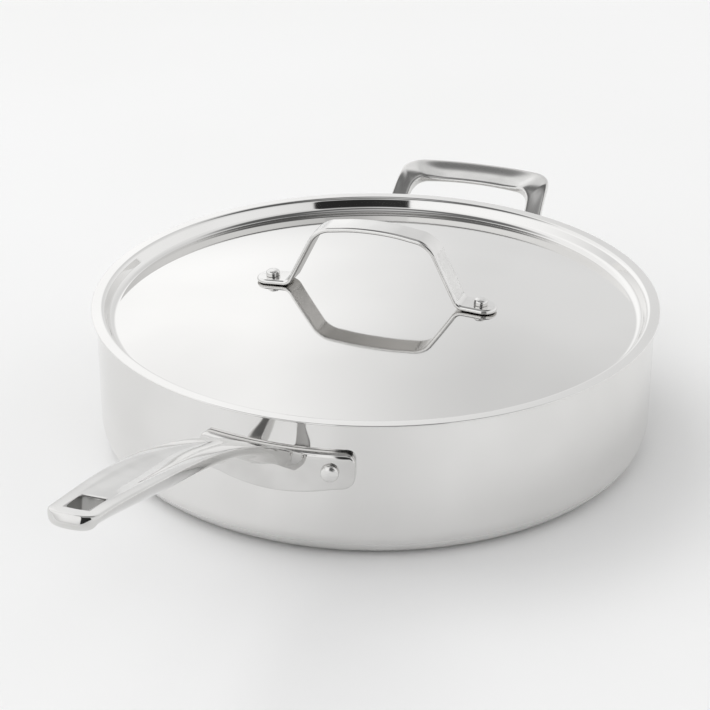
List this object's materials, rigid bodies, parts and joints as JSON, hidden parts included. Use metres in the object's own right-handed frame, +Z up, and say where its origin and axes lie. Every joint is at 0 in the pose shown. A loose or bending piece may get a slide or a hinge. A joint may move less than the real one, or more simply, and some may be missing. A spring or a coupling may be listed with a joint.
{
  "type": "saute pan with lid",
  "caption": "Wide straight-sided steel saute pan with a rising forked long handle, a riveted helper loop and a recessed domed lid under an arched strap handle.",
  "frame": {"origin": "middle of the pan's base, on the surface that the pan stands on", "axes": "+Z up; -Y along the long handle, +Y along the helper handle; X along the lid's strap handle"},
  "size_m": [0.3108, 0.5818, 0.1413],
  "materials": {
    "polished_steel": "bright polish with a very fine turned grain",
    "cast_steel": "polished casting or strap, slightly soft reflections",
    "rivet_steel": "polished formed head"
  },
  "bodies": {
    "pan": {"pan_body": "polished_steel", "long_handle": "cast_steel", "helper_handle": "cast_steel", "long_handle_rivet_left": "rivet_steel", "long_handle_rivet_right": "rivet_steel", "helper_handle_rivet_left": "rivet_steel", "helper_handle_rivet_right": "rivet_steel"},
    "lid": {"lid": "polished_steel", "lid_handle": "cast_steel", "lid_handle_rivet_left": "rivet_steel", "lid_handle_rivet_right": "rivet_steel"}
  },
  "joints": [
    {"name": "lid_lift", "type": "slide", "parent": "pan", "child": "lid", "axis": [0, 0, 1], "range_m": [0, 0.12]}
  ]
}
